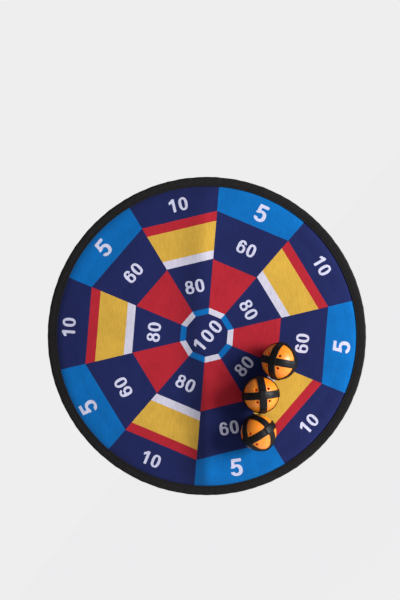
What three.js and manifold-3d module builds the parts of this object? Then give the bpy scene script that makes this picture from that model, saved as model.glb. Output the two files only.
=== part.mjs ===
// Soft touch-fastener dartboard: a padded cloth disc with a bound rim, a sewn hanging loop on its back,
// and three hollow balls that stick to its face by hook tape. Millimetres, +Z up. The board hangs with its
// back in the plane y = 0 and its printed face towards -Y. The origin is the centre of the back.

import * as THREE from 'three';
import { mergeVertices } from 'three/addons/utils/BufferGeometryUtils.js';
import Module from 'manifold-3d';

const wasm = await Module();
wasm.setup();

// Driving dimensions, in millimetres. "Depth" is the distance in front of the back plane.
const GAP = 0.3;                    // between pieces that touch

const BOARD_RADIUS = 175;
const PUFF_WIDTH = 24;              // stretch beside the binding where the padding rolls down
const PUFF_POWER = 2.4;             // how late the padding rolls down, 2 being a parabola
const FACE_THICKNESS = 1.0;
const FOAM_THICKNESS = 6.0;
const FOAM_RIM_THICKNESS = 1.2;     // foam squeezed flat under the binding
const BACKING_THICKNESS = 0.6;

const BINDING_WIDTH = 11;           // each side of the folded tape
const BINDING_THICKNESS = 0.8;
const BINDING_FOLD = 2.4;           // radial depth of the rounded fold
const STITCH_INSET = 2.2;           // from the inner edge of the binding
const THREAD_WIDTH = 0.8;
const THREAD_THICKNESS = 0.6;

const LOOP_TAPE_WIDTH = 5.5;
const LOOP_TAPE_THICKNESS = 1.2;
const LOOP_EYE_WIDTH = 11;
const LOOP_NECK_LENGTH = 9;
const LOOP_SPREAD_LENGTH = 12;      // where the two legs part
const LOOP_LEG_LENGTH = 12;
const LOOP_ENDS_LENGTH = 9.2;       // the two sewn ends, flat on the rim
const LOOP_ROOT_DROP = 1.2;         // from the inner edge of the binding to the line where the loop bends
const TACK_LENGTH = 12.5;
const TACK_HEIGHT = 2.6;
const TACK_THICKNESS = 0.5;

const BALL_RADIUS = 19;             // outside of the moulded shell
const SHELL_WALL = 1.2;
const VENT_RADIUS = 1.25;
const VENT_SPREAD = 0.4;            // offset of each vent from the pole, per unit of radius
const HOOK_TAPE_WIDTH = 8;
const HOOK_TAPE_THICKNESS = 0.7;

// Where the balls sit: the first by polar place on the board, the others in a chain below it.
const FIRST_BALL_RADIUS_SHARE = 0.467;
const FIRST_BALL_ANGLE = -67.8;     // degrees from +X towards +Z
const CHAIN_ANGLES = [-168.3, -142.4];
// Each ball's vented pole, and a second direction square to it where two of its tapes cross.
const BALL_POSES = [
  { pole: [-0.25, -0.88, 0.40], side: [0.87, -0.02, 0.50] },
  { pole: [0.08, -1.00, -0.03], side: [0.70, 0.03, 0.72] },
  { pole: [-0.72, -0.66, 0.21], side: [0.30, -0.03, 0.95] },
];

// Fineness of the round shapes
const BOARD_SEGMENTS = 48;
const PUFF_STEPS = 3;
const FOLD_STEPS = 4;
const CENTRE_DISC_RADIUS = 50;      // inner ring of the flat faces
const SHELL_SEGMENTS = 16;
const SHELL_RINGS = 5;
const TAPE_SEGMENTS = 36;           // a multiple of four, so that a vertex falls on each crossing
const VENT_SIDES = 6;

// Depths of the layers in the padded middle and at the squeezed rim, worked out from the back
const backingDepth = { middle: 0, rim: BINDING_THICKNESS + GAP };
const foamDepth = {
  middle: BACKING_THICKNESS + GAP,
  rim: backingDepth.rim + BACKING_THICKNESS + GAP,
};
const faceDepth = {
  middle: foamDepth.middle + FOAM_THICKNESS + GAP,
  rim: foamDepth.rim + FOAM_RIM_THICKNESS + GAP,
};
const bindingDepth = faceDepth.rim + FACE_THICKNESS + GAP + BINDING_THICKNESS;
const frontDepth = faceDepth.middle + FACE_THICKNESS;

const bindingInnerRadius = BOARD_RADIUS - BINDING_WIDTH;
const layersRadius = BOARD_RADIUS - BINDING_THICKNESS - GAP - BINDING_FOLD / 2;
const rollEndRadius = bindingInnerRadius - GAP;
const flatRadius = rollEndRadius - PUFF_WIDTH;

const tapeInnerRadius = BALL_RADIUS + GAP;
const tapeOuterRadius = tapeInnerRadius + HOOK_TAPE_THICKNESS;
const tapeLap = HOOK_TAPE_THICKNESS + GAP;

const CLOTH_NAVY = 0x26305a;
const FOAM_CREAM = 0xd8d4c8;
const BACKING_BLACK = 0x1b1b1d;
const BINDING_BLACK = 0x211f20;
const THREAD_BLACK = 0x141414;
const HOOK_BLACK = 0x19181a;
const BALL_ORANGE = 0xf4962c;

const MERGE_TOLERANCE = 1e-4;

const object = new THREE.Group();

function addMesh(group, name, geometry, colour, roughness, metalness = 0) {
  const material = new THREE.MeshStandardMaterial({ color: colour, roughness, metalness });
  const mesh = new THREE.Mesh(geometry, material);
  mesh.name = name;
  group.add(mesh);
  return mesh;
}

// A profile of [radius, depth] pairs turned about the board's axis. It runs from the front to the back.
function turned(profile, segments = BOARD_SEGMENTS) {
  const points = profile.map(([radius, depth]) => new THREE.Vector2(radius, -depth));
  return new THREE.LatheGeometry(points, segments);
}

// Points of a surface that is flat in the middle and rolls down to the rim, from the centre outwards
function rolledSurface(middleDepth, rimDepth, rimRadius) {
  const points = [[0, middleDepth], [CENTRE_DISC_RADIUS, middleDepth]];
  for (let step = 0; step <= PUFF_STEPS; step += 1) {
    const share = step / PUFF_STEPS;
    const depth = rimDepth + (middleDepth - rimDepth) * (1 - share ** PUFF_POWER);
    points.push([flatRadius + share * PUFF_WIDTH, depth]);
  }
  points.push([rimRadius, rimDepth]);
  return points;
}

// The padded layers
function addLayers() {
  const faceFront = rolledSurface(frontDepth, faceDepth.rim + FACE_THICKNESS, layersRadius);
  const faceBack = rolledSurface(faceDepth.middle, faceDepth.rim, layersRadius);
  const face = turned([...faceFront, ...faceBack.reverse()]);
  addMesh(object, 'face_fabric', face, CLOTH_NAVY, 0.9);

  const foamFront = rolledSurface(
    foamDepth.middle + FOAM_THICKNESS,
    foamDepth.rim + FOAM_RIM_THICKNESS,
    layersRadius,
  );
  const foamRollEnd = rollEndRadius - GAP;
  const foam = turned([
    ...foamFront,
    [layersRadius, foamDepth.rim],
    [foamRollEnd, foamDepth.rim],
    [foamRollEnd - PUFF_WIDTH / 4, foamDepth.middle],
    [0, foamDepth.middle],
  ]);
  addMesh(object, 'foam_core', foam, FOAM_CREAM, 0.95);

  const backingStepStart = rollEndRadius - backingDepth.rim * 2;
  const backing = turned([
    [0, BACKING_THICKNESS],
    [backingStepStart, BACKING_THICKNESS],
    [rollEndRadius, backingDepth.rim + BACKING_THICKNESS],
    [layersRadius, backingDepth.rim + BACKING_THICKNESS],
    [layersRadius, backingDepth.rim],
    [rollEndRadius, backingDepth.rim],
    [backingStepStart, 0],
    [CENTRE_DISC_RADIUS, 0],
    [0, 0],
  ]);
  addMesh(object, 'backing_fabric', backing, BACKING_BLACK, 0.9);
}

// The folded edge tape: a C section whose fold is half an ellipse
function addBinding() {
  const foldCentre = BOARD_RADIUS - BINDING_FOLD;
  const middleDepth = bindingDepth / 2;
  const innerHalf = middleDepth - BINDING_THICKNESS;
  const innerFold = BINDING_FOLD - BINDING_THICKNESS;
  const outer = [[bindingInnerRadius, bindingDepth]];
  const inner = [[bindingInnerRadius, BINDING_THICKNESS]];
  for (let step = 0; step <= FOLD_STEPS; step += 1) {
    const angle = Math.PI * (step / FOLD_STEPS - 0.5);
    outer.push([
      foldCentre + BINDING_FOLD * Math.cos(angle),
      middleDepth - middleDepth * Math.sin(angle),
    ]);
    inner.push([
      foldCentre + innerFold * Math.cos(angle),
      middleDepth + innerHalf * Math.sin(angle),
    ]);
  }
  outer.push([bindingInnerRadius, 0]);
  inner.push([bindingInnerRadius, bindingDepth - BINDING_THICKNESS]);
  addMesh(object, 'edge_binding', turned([...outer, ...inner, outer[0]]), BINDING_BLACK, 0.85);

  const stitchInner = bindingInnerRadius + STITCH_INSET - THREAD_WIDTH / 2;
  const stitchOuter = stitchInner + THREAD_WIDTH;
  const stitchBack = bindingDepth + GAP;
  const stitchFront = stitchBack + THREAD_THICKNESS;
  const stitching = turned([
    [stitchInner, stitchFront],
    [stitchOuter, stitchFront],
    [stitchOuter, stitchBack],
    [stitchInner, stitchBack],
    [stitchInner, stitchFront],
  ]);
  addMesh(object, 'binding_stitching', stitching, THREAD_BLACK, 0.7);
}

// A flat shape, drawn as across and up, given a thickness from startY backwards
function flatPiece(shape, startY, thickness, curveSegments = 6) {
  const geometry = new THREE.ExtrudeGeometry(shape, {
    depth: thickness,
    bevelEnabled: false,
    curveSegments,
  });
  geometry.rotateX(Math.PI / 2);
  geometry.translate(0, startY + thickness, 0);
  return geometry;
}

// An outline of the loop, outer or inner: down the left leg, round the end and up the right leg
function loopOutline(neckHalf, wideHalf, topZ) {
  const neckZ = -LOOP_NECK_LENGTH;
  const spreadZ = neckZ - LOOP_SPREAD_LENGTH;
  const endZ = spreadZ - LOOP_LEG_LENGTH;
  const outline = new THREE.Path();
  outline.moveTo(-neckHalf, topZ);
  outline.lineTo(-neckHalf, neckZ);
  outline.lineTo(-wideHalf, spreadZ);
  outline.absarc(0, endZ, wideHalf, -Math.PI, 0, false);
  outline.lineTo(wideHalf, spreadZ);
  outline.lineTo(neckHalf, neckZ);
  outline.lineTo(neckHalf, topZ);
  return outline;
}

// The hanging loop, the ends of its tape and the bar of stitches across them
function addLoop() {
  const rootZ = bindingInnerRadius - LOOP_ROOT_DROP;
  const eyeHalf = LOOP_EYE_WIDTH / 2;
  const outline = loopOutline(LOOP_TAPE_WIDTH, eyeHalf + LOOP_TAPE_WIDTH, 0);
  const shape = new THREE.Shape(outline.getPoints(6));
  shape.holes.push(loopOutline(GAP, eyeHalf, -LOOP_NECK_LENGTH));
  const loop = flatPiece(shape, GAP, LOOP_TAPE_THICKNESS);
  loop.translate(0, 0, rootZ - GAP);
  addMesh(object, 'hanging_loop', loop, BINDING_BLACK, 0.85);

  const ends = new THREE.BoxGeometry(2 * LOOP_TAPE_WIDTH, LOOP_TAPE_THICKNESS, LOOP_ENDS_LENGTH);
  ends.translate(0, GAP + LOOP_TAPE_THICKNESS / 2, rootZ + LOOP_ENDS_LENGTH / 2);
  addMesh(object, 'loop_ends', ends, BINDING_BLACK, 0.85);

  const half = (TACK_LENGTH - TACK_HEIGHT) / 2;
  const bar = new THREE.Shape();
  bar.absarc(half, 0, TACK_HEIGHT / 2, -Math.PI / 2, Math.PI / 2, false);
  bar.absarc(-half, 0, TACK_HEIGHT / 2, Math.PI / 2, 1.5 * Math.PI, false);
  const tack = flatPiece(bar, 2 * GAP + LOOP_TAPE_THICKNESS, TACK_THICKNESS, 4);
  tack.translate(0, 0, rootZ + LOOP_ENDS_LENGTH / 2);
  addMesh(object, 'loop_tack', tack, THREAD_BLACK, 0.7);
}

// A closed geometry as a solid that can be cut, and back
function toSolid(geometry) {
  const bare = geometry.clone();
  bare.deleteAttribute('normal');
  bare.deleteAttribute('uv');
  const merged = mergeVertices(bare, MERGE_TOLERANCE);
  return new wasm.Manifold(new wasm.Mesh({
    numProp: 3,
    vertProperties: new Float32Array(merged.attributes.position.array),
    triVerts: new Uint32Array(merged.index.array),
  }));
}

function toGeometry(solid) {
  const mesh = solid.getMesh();
  const geometry = new THREE.BufferGeometry();
  geometry.setAttribute('position', new THREE.BufferAttribute(mesh.vertProperties, 3));
  geometry.setIndex(new THREE.BufferAttribute(mesh.triVerts, 1));
  geometry.computeVertexNormals();
  return geometry;
}

// A quarter circle from half a gap above the equator up to the pole
function quarterArc(radius) {
  const start = Math.asin(GAP / 2 / radius);
  const points = [];
  for (let ring = 0; ring < SHELL_RINGS; ring += 1) {
    const angle = start + (Math.PI / 2 - start) * (ring / SHELL_RINGS);
    points.push(new THREE.Vector2(radius * Math.cos(angle), radius * Math.sin(angle)));
  }
  points.push(new THREE.Vector2(0, radius));
  return points;
}

// A half shell with its pole on +Y, cut by four round vents about the pole
function halfShell() {
  const inner = quarterArc(BALL_RADIUS - SHELL_WALL).reverse();
  const shell = new THREE.LatheGeometry([...inner, ...quarterArc(BALL_RADIUS)], SHELL_SEGMENTS);
  let solid = toSolid(shell);
  const up = new THREE.Vector3(0, 1, 0);
  const ventLength = 4 * SHELL_WALL;
  for (const acrossX of [-1, 1]) {
    for (const acrossZ of [-1, 1]) {
      const direction = new THREE.Vector3(acrossX * VENT_SPREAD, 1, acrossZ * VENT_SPREAD).normalize();
      const vent = new THREE.CylinderGeometry(VENT_RADIUS, VENT_RADIUS, ventLength, VENT_SIDES);
      vent.applyQuaternion(new THREE.Quaternion().setFromUnitVectors(up, direction));
      const middle = direction.multiplyScalar(BALL_RADIUS - SHELL_WALL / 2);
      vent.translate(middle.x, middle.y, middle.z);
      solid = solid.subtract(toSolid(vent));
    }
  }
  return toGeometry(solid);
}

// A hook tape round a great circle about Y. At each quarter turn in lapQuarters it rises over another tape:
// it stays up for the whole facets that cover that tape, and ramps down over one facet on either side.
function hookTape(lapQuarters) {
  const half = HOOK_TAPE_WIDTH / 2;
  const section = [
    [tapeInnerRadius, -half],
    [tapeOuterRadius, -half],
    [tapeOuterRadius, 0],
    [tapeOuterRadius, half],
    [tapeInnerRadius, half],
    [tapeInnerRadius, 0],
    [tapeInnerRadius, -half],
  ];
  const points = section.map(([radius, side]) => (
    new THREE.Vector2(Math.sqrt(radius ** 2 - side ** 2), side)
  ));
  const tape = new THREE.LatheGeometry(points, TAPE_SEGMENTS);
  const facet = (2 * Math.PI) / TAPE_SEGMENTS;
  const lapFacets = Math.ceil(Math.asin((half + GAP) / tapeInnerRadius) / facet);
  const position = tape.attributes.position;
  for (let i = 0; i < position.count; i += 1) {
    const angle = Math.atan2(position.getX(i), position.getZ(i));
    let lift = 0;
    for (const quarter of lapQuarters) {
      const turn = angle - (quarter * Math.PI) / 2;
      const away = Math.abs(Math.atan2(Math.sin(turn), Math.cos(turn)));
      const ramp = THREE.MathUtils.clamp(lapFacets + 1 - away / facet, 0, 1);
      lift = Math.max(lift, tapeLap * ramp);
    }
    const radius = Math.hypot(position.getX(i), position.getZ(i));
    const scale = (radius + lift) / radius;
    position.setX(i, position.getX(i) * scale);
    position.setZ(i, position.getZ(i) * scale);
  }
  return tape;
}

function addBall(number, place, pose) {
  const ball = new THREE.Group();
  const name = (piece) => `ball_${number}_${piece}`;
  addMesh(ball, name('shell_front'), halfShell(), BALL_ORANGE, 0.4);
  const back = halfShell();
  back.rotateX(Math.PI);
  addMesh(ball, name('shell_back'), back, BALL_ORANGE, 0.4);

  // The first tape covers the joint of the shells. The second laps over the first, the third over both.
  addMesh(ball, name('tape_1'), hookTape([]), HOOK_BLACK, 0.8);
  const second = hookTape([1, 3]);
  second.rotateX(Math.PI / 2);
  addMesh(ball, name('tape_2'), second, HOOK_BLACK, 0.8);
  const third = hookTape([0, 1, 2, 3]);
  third.rotateZ(-Math.PI / 2);
  addMesh(ball, name('tape_3'), third, HOOK_BLACK, 0.8);

  const pole = new THREE.Vector3(...pose.pole).normalize();
  const across = new THREE.Vector3().crossVectors(pole, new THREE.Vector3(...pose.side)).normalize();
  const side = new THREE.Vector3().crossVectors(across, pole);
  ball.setRotationFromMatrix(new THREE.Matrix4().makeBasis(across, pole, side));

  // The ball touches the face with whatever part of it reaches furthest back
  ball.updateMatrixWorld(true);
  const reach = new THREE.Box3().setFromObject(ball, true).max.y;
  ball.position.set(place.x, -frontDepth - GAP - reach, place.y);
  object.add(ball);
}

function addBalls() {
  const spacing = 2 * tapeOuterRadius + tapeLap;
  const polar = (radius, degrees) => {
    const angle = THREE.MathUtils.degToRad(degrees);
    return new THREE.Vector2(radius * Math.cos(angle), radius * Math.sin(angle));
  };
  const place = polar(FIRST_BALL_RADIUS_SHARE * BOARD_RADIUS, FIRST_BALL_ANGLE);
  BALL_POSES.forEach((pose, index) => {
    if (index > 0) {
      place.add(polar(spacing, CHAIN_ANGLES[index - 1]));
    }
    addBall(index + 1, place, pose);
  });
}

addLayers();
addBinding();
addLoop();
addBalls();

export default object;
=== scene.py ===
import math

import bpy
import numpy as np
from mathutils import Matrix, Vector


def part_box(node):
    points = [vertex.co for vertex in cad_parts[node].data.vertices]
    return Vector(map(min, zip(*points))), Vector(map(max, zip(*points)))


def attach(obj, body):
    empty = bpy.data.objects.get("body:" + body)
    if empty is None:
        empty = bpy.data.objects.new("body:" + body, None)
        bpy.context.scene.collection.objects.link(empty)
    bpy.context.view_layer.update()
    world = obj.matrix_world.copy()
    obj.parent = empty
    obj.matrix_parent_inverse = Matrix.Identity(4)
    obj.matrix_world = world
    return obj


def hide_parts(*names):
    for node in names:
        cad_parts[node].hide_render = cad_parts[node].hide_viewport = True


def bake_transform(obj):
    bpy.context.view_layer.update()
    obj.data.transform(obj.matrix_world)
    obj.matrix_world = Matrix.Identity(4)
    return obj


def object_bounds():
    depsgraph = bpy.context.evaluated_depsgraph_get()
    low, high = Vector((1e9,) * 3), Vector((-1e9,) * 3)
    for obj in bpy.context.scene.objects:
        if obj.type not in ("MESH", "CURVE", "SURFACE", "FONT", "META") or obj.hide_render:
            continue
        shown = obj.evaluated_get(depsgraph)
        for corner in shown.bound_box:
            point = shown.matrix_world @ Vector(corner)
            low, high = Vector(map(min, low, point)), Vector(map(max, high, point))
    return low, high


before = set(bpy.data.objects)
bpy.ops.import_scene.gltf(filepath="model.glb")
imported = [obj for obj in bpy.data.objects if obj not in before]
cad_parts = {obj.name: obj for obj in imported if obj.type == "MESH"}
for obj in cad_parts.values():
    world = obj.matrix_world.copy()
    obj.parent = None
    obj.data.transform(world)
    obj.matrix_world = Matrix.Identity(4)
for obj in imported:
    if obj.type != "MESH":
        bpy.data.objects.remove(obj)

cad_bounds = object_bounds()

# ---------------------------------------------------------------------------------------------------
# Camera. It looks square at the face from a metre away and is rolled, so that the print's top leans to
# the upper left. Image right and image up are the same directions in the board's own plane.
ROLL = math.radians(49.26)
BOARD_CENTRE_RIGHT = 0.0075
BOARD_CENTRE_UP = -0.0396
VIEW_HEIGHT = 0.6616
VIEW_DISTANCE = 1.055
SENSOR = 36.0

image_right = np.array([math.cos(ROLL), 0.0, -math.sin(ROLL)])
image_up = np.array([math.sin(ROLL), 0.0, math.cos(ROLL)])

camera_data = bpy.data.cameras.new("camera")
camera_data.sensor_width = SENSOR
camera_data.lens = SENSOR * VIEW_DISTANCE / VIEW_HEIGHT
camera_data.clip_end = 100.0
camera = bpy.data.objects.new("camera", camera_data)
camera_place = -BOARD_CENTRE_RIGHT * image_right - BOARD_CENTRE_UP * image_up
camera_place[1] = -VIEW_DISTANCE
camera.matrix_world = Matrix((
    (image_right[0], image_up[0], 0.0, camera_place[0]),
    (image_right[1], image_up[1], -1.0, camera_place[1]),
    (image_right[2], image_up[2], 0.0, camera_place[2]),
    (0.0, 0.0, 0.0, 1.0),
))
bpy.context.scene.collection.objects.link(camera)
bpy.context.scene.camera = camera
bpy.context.scene.view_settings.view_transform = "Standard"

# ---------------------------------------------------------------------------------------------------
# Studio. A pale room lights everything evenly, and one large soft lamp to the right of the camera gives
# the shading. A weaker lamp behind keeps the back readable. The pale floor lies well below the board.
ROOM_COLOUR = (0.93, 0.93, 0.94, 1.0)
ROOM_SEEN = 0.92
ROOM_LIGHT = 0.21
FLOOR_GLOW = 0.71
FLOOR_DROP = 1.5
FLOOR_RADIUS = 30.0
FLOOR_SIDES = 64
KEY_LAMP_SIZE = 0.70
KEY_LAMP_POWER = 42.0
BACK_LAMP_PLACE = (-0.9, 1.5, 0.8)
BACK_LAMP_SIZE = 1.0
BACK_LAMP_POWER = 24.0

world = bpy.data.worlds.new("room")
world.use_nodes = True
room_light = world.node_tree.nodes["Background"]
room_light.inputs["Color"].default_value = ROOM_COLOUR
room_light.inputs["Strength"].default_value = ROOM_LIGHT
room_seen = world.node_tree.nodes.new("ShaderNodeBackground")
room_seen.inputs["Color"].default_value = ROOM_COLOUR
room_seen.inputs["Strength"].default_value = ROOM_SEEN
rays = world.node_tree.nodes.new("ShaderNodeLightPath")
either = world.node_tree.nodes.new("ShaderNodeMixShader")
world.node_tree.links.new(rays.outputs["Is Camera Ray"], either.inputs[0])
world.node_tree.links.new(room_light.outputs[0], either.inputs[1])
world.node_tree.links.new(room_seen.outputs[0], either.inputs[2])
world.node_tree.links.new(either.outputs[0], world.node_tree.nodes["World Output"].inputs["Surface"])
bpy.context.scene.world = world


def soft_lamp(name, place, size, power):
    """A square lamp of the given size at a place, turned to face the middle of the board."""
    data = bpy.data.lights.new(name, "AREA")
    data.shape = "SQUARE"
    data.size = size
    data.energy = power
    lamp = bpy.data.objects.new(name, data)
    back = np.array(place, float) / np.linalg.norm(place)
    side = np.cross([0.0, 0.0, 1.0], back)
    side /= np.linalg.norm(side)
    turn = np.column_stack([side, np.cross(back, side), back])
    lamp.matrix_world = Matrix.Translation(place) @ Matrix(turn.tolist()).to_4x4()
    lamp.visible_camera = False
    bpy.context.scene.collection.objects.link(lamp)


key_place = 1.42 * image_right + 0.30 * image_up + np.array([0.0, -0.98, 0.0])
soft_lamp("key_lamp", key_place.tolist(), KEY_LAMP_SIZE, KEY_LAMP_POWER)
soft_lamp("back_lamp", BACK_LAMP_PLACE, BACK_LAMP_SIZE, BACK_LAMP_POWER)

floor_turn = np.linspace(0.0, 2.0 * math.pi, FLOOR_SIDES, endpoint=False)
floor_level = np.full(FLOOR_SIDES, cad_bounds[0][2] - FLOOR_DROP)
floor_points = np.column_stack([FLOOR_RADIUS * np.cos(floor_turn), FLOOR_RADIUS * np.sin(floor_turn),
                                floor_level])
floor_mesh = bpy.data.meshes.new("floor")
floor_mesh.from_pydata(floor_points.tolist(), [], [list(range(FLOOR_SIDES))])
floor = bpy.data.objects.new("floor", floor_mesh)
floor_material = bpy.data.materials.new("pale_floor")
floor_material.use_nodes = True
floor_shader = floor_material.node_tree.nodes["Principled BSDF"]
floor_shader.inputs["Base Color"].default_value = ROOM_COLOUR
floor_shader.inputs["Roughness"].default_value = 1.0
floor_shader.inputs["Specular IOR Level"].default_value = 0.0
floor_shader.inputs["Emission Color"].default_value = ROOM_COLOUR
floor_shader.inputs["Emission Strength"].default_value = FLOOR_GLOW
floor_mesh.materials.append(floor_material)
bpy.context.scene.collection.objects.link(floor)

# ---------------------------------------------------------------------------------------------------
# Backing cloth. A disc of plain-woven polyester closes the back. It lies flat against the foam and steps
# inwards at the rim, where the edge tape's rear half is sewn down over it.
BACKING_CELLS = 150
BACKING_WAVE = 0.00006
BACKING_FADE = 0.02
BACKING_THREAD = 0.0008
TAPE_WIDTH = 0.0105

tape_low, tape_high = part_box("edge_binding")
board_radius = tape_high.x
layers_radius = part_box("backing_fabric")[1].x
tape_inner = board_radius - TAPE_WIDTH


def disc_grid(cells, radius):
    """A square grid pressed into a disc: each square coordinate is shortened by the root of one less half
    the other's square, so straight grid lines become elliptic arcs. Returns x and z."""
    steps = np.linspace(-1.0, 1.0, cells + 1)
    u, v = np.meshgrid(steps, steps, indexing="ij")
    return radius * u * np.sqrt(1.0 - v * v / 2.0), radius * v * np.sqrt(1.0 - u * u / 2.0)


def grid_quads(rows, columns, wrap_rows=False, wrap_columns=False):
    """Corner indices of the cells of a grid of points, wrapping round in either direction if asked."""
    row = np.arange(rows if wrap_rows else rows - 1)
    column = np.arange(columns if wrap_columns else columns - 1)
    r, c = np.meshgrid(row, column, indexing="ij")
    next_r, next_c = (r + 1) % rows, (c + 1) % columns
    corners = [r * columns + c, next_r * columns + c, next_r * columns + next_c, r * columns + next_c]
    return np.stack(corners, axis=-1).reshape(-1, 4)


def rim_order(cells):
    """Indices of the points on the edge of a square grid, in order round it."""
    index = np.arange((cells + 1) ** 2).reshape(cells + 1, cells + 1)
    return np.concatenate([index[0, :-1], index[:-1, -1], index[-1, :0:-1], index[:0:-1, 0]])


def at_depth(x, z, depth):
    """Points at the x and z of a grid, a depth in front of the board's back, which is towards -Y."""
    return np.stack([x, -depth, z], axis=-1).reshape(-1, 3)


def ring_wall(inner, outer):
    """Corner indices of the quads between two closed rings of points."""
    return np.column_stack([inner, np.roll(inner, -1), np.roll(outer, -1), outer])


def disc_with_hem(cells, depth_at, radius, hem_route):
    """A disc grid at a depth that varies with x and z, then rings outside it, each at a radius and depth
    of the hem's route. Returns points and quads that face -Y."""
    x, z = disc_grid(cells, radius)
    points = at_depth(x, z, depth_at(x, z))
    rim = rim_order(cells)
    outward = points[rim] / np.hypot(points[rim, 0], points[rim, 2])[:, None]
    rings = [rim] + [len(points) + i * len(rim) + np.arange(len(rim)) for i in range(len(hem_route))]
    hem = [np.column_stack([outward[:, 0] * r, np.full(len(rim), -depth), outward[:, 2] * r])
           for r, depth in hem_route]
    walls = [ring_wall(inner, outer) for inner, outer in zip(rings[:-1], rings[1:])]
    return np.concatenate([points, *hem]), np.concatenate([grid_quads(cells + 1, cells + 1), *walls])


def make_piece(name, points, quads, body, nodes):
    """A smooth mesh of quads as a piece that rides on a body and stands for the CAD nodes."""
    points = np.ascontiguousarray(points.reshape(-1, 3), dtype=np.float32)
    quads = np.ascontiguousarray(quads.reshape(-1, 4), dtype=np.int32)
    mesh = bpy.data.meshes.new(name)
    mesh.vertices.add(len(points))
    mesh.vertices.foreach_set("co", points.ravel())
    mesh.loops.add(quads.size)
    mesh.loops.foreach_set("vertex_index", quads.ravel())
    mesh.polygons.add(len(quads))
    mesh.polygons.foreach_set("loop_start", np.arange(0, quads.size, 4, dtype=np.int32))
    mesh.polygons.foreach_set("use_smooth", np.ones(len(quads), dtype=bool))
    mesh.update(calc_edges=True)
    piece = bpy.data.objects.new(name, mesh)
    bpy.context.scene.collection.objects.link(piece)
    if body:
        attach(piece, body)
    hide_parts(*nodes)
    return piece


class Finish:
    """A procedural material under construction: its node tree, its shader and short ways to add nodes."""

    def __init__(self, name, roughness, specular=0.5):
        self.material = bpy.data.materials.new(name)
        self.material.use_nodes = True
        self.tree = self.material.node_tree
        self.shader = self.tree.nodes["Principled BSDF"]
        self.shader.inputs["Roughness"].default_value = roughness
        self.shader.inputs["Specular IOR Level"].default_value = specular
        self.place = self.node("ShaderNodeTexCoord").outputs["Object"]

    def node(self, kind, **settings):
        """Add a node and set its properties."""
        made = self.tree.nodes.new(kind)
        for key, value in settings.items():
            setattr(made, key, value)
        return made

    def feed(self, socket, value):
        """Link a socket from another, or set it to a number or colour."""
        if isinstance(value, bpy.types.NodeSocket):
            self.tree.links.new(value, socket)
        else:
            socket.default_value = value

    def math(self, operation, first, second=0.0):
        """The result of one arithmetic step."""
        made = self.node("ShaderNodeMath", operation=operation)
        self.feed(made.inputs[0], first)
        self.feed(made.inputs[1], second)
        return made.outputs[0]

    def axes(self, vector=None):
        """The three parts of a vector, or of the place on the piece."""
        made = self.node("ShaderNodeSeparateXYZ")
        self.feed(made.inputs[0], vector or self.place)
        return made.outputs[0], made.outputs[1], made.outputs[2]

    def mix(self, share, first, second, blend="MIX"):
        """Two colours mixed by a share."""
        made = self.node("ShaderNodeMix", data_type="RGBA", blend_type=blend)
        self.feed(made.inputs[0], share)
        for socket, colour in ((made.inputs[6], first), (made.inputs[7], second)):
            self.feed(socket, (*colour, 1.0) if isinstance(colour, tuple) else colour)
        return made.outputs[2]

    def noise(self, vector, scale, detail=2.0, roughness=0.5):
        """A noise value about one half."""
        made = self.node("ShaderNodeTexNoise")
        self.feed(made.inputs["Vector"], vector)
        self.feed(made.inputs["Scale"], scale)
        self.feed(made.inputs["Detail"], detail)
        self.feed(made.inputs["Roughness"], roughness)
        return made.outputs["Fac"]

    def turned(self, vector, rotation=(0.0, 0.0, 0.0), scale=(1.0, 1.0, 1.0)):
        """Coordinates stretched and then turned."""
        made = self.node("ShaderNodeMapping", vector_type="POINT")
        self.feed(made.inputs["Vector"], vector)
        self.feed(made.inputs["Rotation"], rotation)
        self.feed(made.inputs["Scale"], scale)
        return made.outputs["Vector"]

    def ranged(self, value, low, high, start=0.0, stop=1.0):
        """A value from start to stop stretched to run from low to high."""
        made = self.node("ShaderNodeMapRange")
        for socket, number in zip(made.inputs, (value, start, stop, low, high)):
            self.feed(socket, number)
        return made.outputs["Result"]

    def shaded(self, colour, shade):
        """A colour times a varying shade."""
        tint = self.node("ShaderNodeCombineColor")
        for socket in tint.inputs:
            self.feed(socket, shade)
        return self.mix(1.0, tint.outputs[0], colour, "MULTIPLY")

    def bump(self, height, depth, strength=1.0, below=None):
        """A bump normal from a height between 0 and 1, a depth in metres and a normal under it."""
        made = self.node("ShaderNodeBump")
        self.feed(made.inputs["Height"], height)
        self.feed(made.inputs["Distance"], depth)
        self.feed(made.inputs["Strength"], strength)
        if below is not None:
            self.feed(made.inputs["Normal"], below)
        return made.outputs["Normal"]

    def paint(self, colour, normal=None, roughness=None):
        """Wire a varying colour, normal and roughness into the shader."""
        self.feed(self.shader.inputs["Base Color"], colour)
        if normal is not None:
            self.feed(self.shader.inputs["Normal"], normal)
        if roughness is not None:
            self.feed(self.shader.inputs["Roughness"], roughness)
        return self

    def wear(self, piece):
        """Put the finish on a piece."""
        piece.data.materials.clear()
        piece.data.materials.append(self.material)


def woven_height(s, along, across, pitch):
    """Height of a plain weave: each cell of the thread pitch shows a rounded thread that runs one way or
    the other in turn, as half a sine wave across the thread."""
    a = s.math("DIVIDE", along, pitch)
    b = s.math("DIVIDE", across, pitch)
    cell = s.math("ADD", s.math("FLOOR", a), s.math("FLOOR", b))
    over = s.math("ABSOLUTE", s.math("MODULO", cell, 2.0))
    warp = s.math("ABSOLUTE", s.math("SINE", s.math("MULTIPLY", a, math.pi)))
    weft = s.math("ABSOLUTE", s.math("SINE", s.math("MULTIPLY", b, math.pi)))
    warp_part = s.math("MULTIPLY", over, warp)
    weft_part = s.math("MULTIPLY", s.math("SUBTRACT", 1.0, over), weft)
    return s.math("ADD", warp_part, weft_part)


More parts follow.
